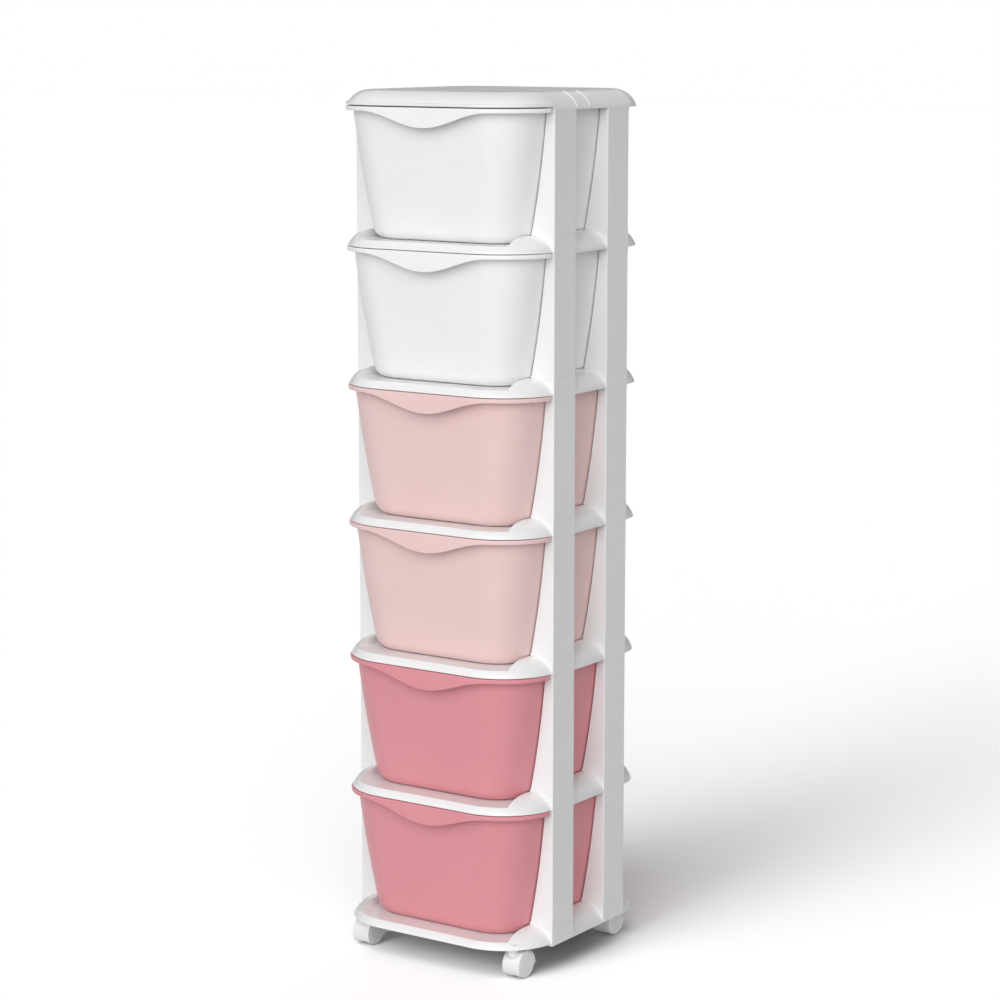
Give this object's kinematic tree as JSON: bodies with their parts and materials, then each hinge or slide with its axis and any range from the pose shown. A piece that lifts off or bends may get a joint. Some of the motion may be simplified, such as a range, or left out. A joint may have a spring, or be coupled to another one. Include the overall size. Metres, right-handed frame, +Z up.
{
  "type": "rolling drawer tower",
  "caption": "Tall narrow plastic storage tower with stacked domed shelves on corner posts, slide-out tub drawers with a wavy grip band, and small twin-wheel swivel casters.",
  "frame": {"origin": "on the floor under the middle of the footprint", "axes": "+Z up, the drawer fronts face -Y, +X to the right seen from the front"},
  "size_m": [0.28, 0.282, 1.03],
  "materials": {
    "white_plastic": "moulded, softly glossy",
    "white_drawer": "moulded, satin",
    "blush_drawer": "moulded, satin",
    "rose_drawer": "moulded, satin",
    "caster_plastic": "moulded",
    "wheel_plastic": "moulded",
    "steel_pin": "plain"
  },
  "bodies": {
    "tower": {"top_cover": "white_plastic", "shelf_1": "white_plastic", "shelf_2": "white_plastic", "shelf_3": "white_plastic", "shelf_4": "white_plastic", "shelf_5": "white_plastic", "shelf_6": "white_plastic", "post_1_fl": "white_plastic", "post_1_fr": "white_plastic", "post_1_bl": "white_plastic", "post_1_br": "white_plastic", "post_2_fl": "white_plastic", "post_2_fr": "white_plastic", "post_2_bl": "white_plastic", "post_2_br": "white_plastic", "post_3_fl": "white_plastic", "post_3_fr": "white_plastic", "post_3_bl": "white_plastic", "post_3_br": "white_plastic", "post_4_fl": "white_plastic", "post_4_fr": "white_plastic", "post_4_bl": "white_plastic", "post_4_br": "white_plastic", "post_5_fl": "white_plastic", "post_5_fr": "white_plastic", "post_5_bl": "white_plastic", "post_5_br": "white_plastic", "post_6_fl": "white_plastic", "post_6_fr": "white_plastic", "post_6_bl": "white_plastic", "post_6_br": "white_plastic"},
    "drawer_body_1": {"drawer_1": "rose_drawer"},
    "drawer_body_2": {"drawer_2": "rose_drawer"},
    "drawer_body_3": {"drawer_3": "blush_drawer"},
    "drawer_body_4": {"drawer_4": "blush_drawer"},
    "drawer_body_5": {"drawer_5": "white_drawer"},
    "drawer_body_6": {"drawer_6": "white_drawer"},
    "caster_fl": {"caster_fl_hood": "caster_plastic", "caster_fl_stem": "steel_pin", "caster_fl_axle": "steel_pin"},
    "caster_fl_roller_l": {"caster_fl_wheel_l": "wheel_plastic"},
    "caster_fl_roller_r": {"caster_fl_wheel_r": "wheel_plastic"},
    "caster_fr": {"caster_fr_hood": "caster_plastic", "caster_fr_stem": "steel_pin", "caster_fr_axle": "steel_pin"},
    "caster_fr_roller_l": {"caster_fr_wheel_l": "wheel_plastic"},
    "caster_fr_roller_r": {"caster_fr_wheel_r": "wheel_plastic"},
    "caster_bl": {"caster_bl_hood": "caster_plastic", "caster_bl_stem": "steel_pin", "caster_bl_axle": "steel_pin"},
    "caster_bl_roller_l": {"caster_bl_wheel_l": "wheel_plastic"},
    "caster_bl_roller_r": {"caster_bl_wheel_r": "wheel_plastic"},
    "caster_br": {"caster_br_hood": "caster_plastic", "caster_br_stem": "steel_pin", "caster_br_axle": "steel_pin"},
    "caster_br_roller_l": {"caster_br_wheel_l": "wheel_plastic"},
    "caster_br_roller_r": {"caster_br_wheel_r": "wheel_plastic"}
  },
  "joints": [
    {"name": "drawer_1_slide", "type": "slide", "parent": "tower", "child": "drawer_body_1", "axis": [0, -1, 0], "range_m": [0, 0.18]},
    {"name": "drawer_2_slide", "type": "slide", "parent": "tower", "child": "drawer_body_2", "axis": [0, -1, 0], "range_m": [0, 0.18]},
    {"name": "drawer_3_slide", "type": "slide", "parent": "tower", "child": "drawer_body_3", "axis": [0, -1, 0], "range_m": [0, 0.18]},
    {"name": "drawer_4_slide", "type": "slide", "parent": "tower", "child": "drawer_body_4", "axis": [0, -1, 0], "range_m": [0, 0.18]},
    {"name": "drawer_5_slide", "type": "slide", "parent": "tower", "child": "drawer_body_5", "axis": [0, -1, 0], "range_m": [0, 0.18]},
    {"name": "drawer_6_slide", "type": "slide", "parent": "tower", "child": "drawer_body_6", "axis": [0, -1, 0], "range_m": [0, 0.18]},
    {"name": "caster_fl_swivel", "type": "hinge", "parent": "tower", "child": "caster_fl", "pos_m": [-0.11, -0.112, 0.0345], "axis": [0, 0, 1], "continuous": true},
    {"name": "caster_fl_wheel_l_spin", "type": "hinge", "parent": "caster_fl", "child": "caster_fl_roller_l", "pos_m": [-0.11, -0.0994, 0.0158], "axis": [1, 0, 0], "continuous": true},
    {"name": "caster_fl_wheel_r_spin", "type": "hinge", "parent": "caster_fl", "child": "caster_fl_roller_r", "pos_m": [-0.11, -0.0994, 0.0158], "axis": [1, 0, 0], "continuous": true},
    {"name": "caster_fr_swivel", "type": "hinge", "parent": "tower", "child": "caster_fr", "pos_m": [0.11, -0.112, 0.0345], "axis": [0, 0, 1], "continuous": true},
    {"name": "caster_fr_wheel_l_spin", "type": "hinge", "parent": "caster_fr", "child": "caster_fr_roller_l", "pos_m": [0.11, -0.0994, 0.0158], "axis": [1, 0, 0], "continuous": true},
    {"name": "caster_fr_wheel_r_spin", "type": "hinge", "parent": "caster_fr", "child": "caster_fr_roller_r", "pos_m": [0.11, -0.0994, 0.0158], "axis": [1, 0, 0], "continuous": true},
    {"name": "caster_bl_swivel", "type": "hinge", "parent": "tower", "child": "caster_bl", "pos_m": [-0.11, 0.085, 0.0345], "axis": [0, 0, 1], "continuous": true},
    {"name": "caster_bl_wheel_l_spin", "type": "hinge", "parent": "caster_bl", "child": "caster_bl_roller_l", "pos_m": [-0.11, 0.0976, 0.0158], "axis": [1, 0, 0], "continuous": true},
    {"name": "caster_bl_wheel_r_spin", "type": "hinge", "parent": "caster_bl", "child": "caster_bl_roller_r", "pos_m": [-0.11, 0.0976, 0.0158], "axis": [1, 0, 0], "continuous": true},
    {"name": "caster_br_swivel", "type": "hinge", "parent": "tower", "child": "caster_br", "pos_m": [0.11, 0.085, 0.0345], "axis": [0, 0, 1], "continuous": true},
    {"name": "caster_br_wheel_l_spin", "type": "hinge", "parent": "caster_br", "child": "caster_br_roller_l", "pos_m": [0.11, 0.0976, 0.0158], "axis": [1, 0, 0], "continuous": true},
    {"name": "caster_br_wheel_r_spin", "type": "hinge", "parent": "caster_br", "child": "caster_br_roller_r", "pos_m": [0.11, 0.0976, 0.0158], "axis": [1, 0, 0], "continuous": true}
  ]
}
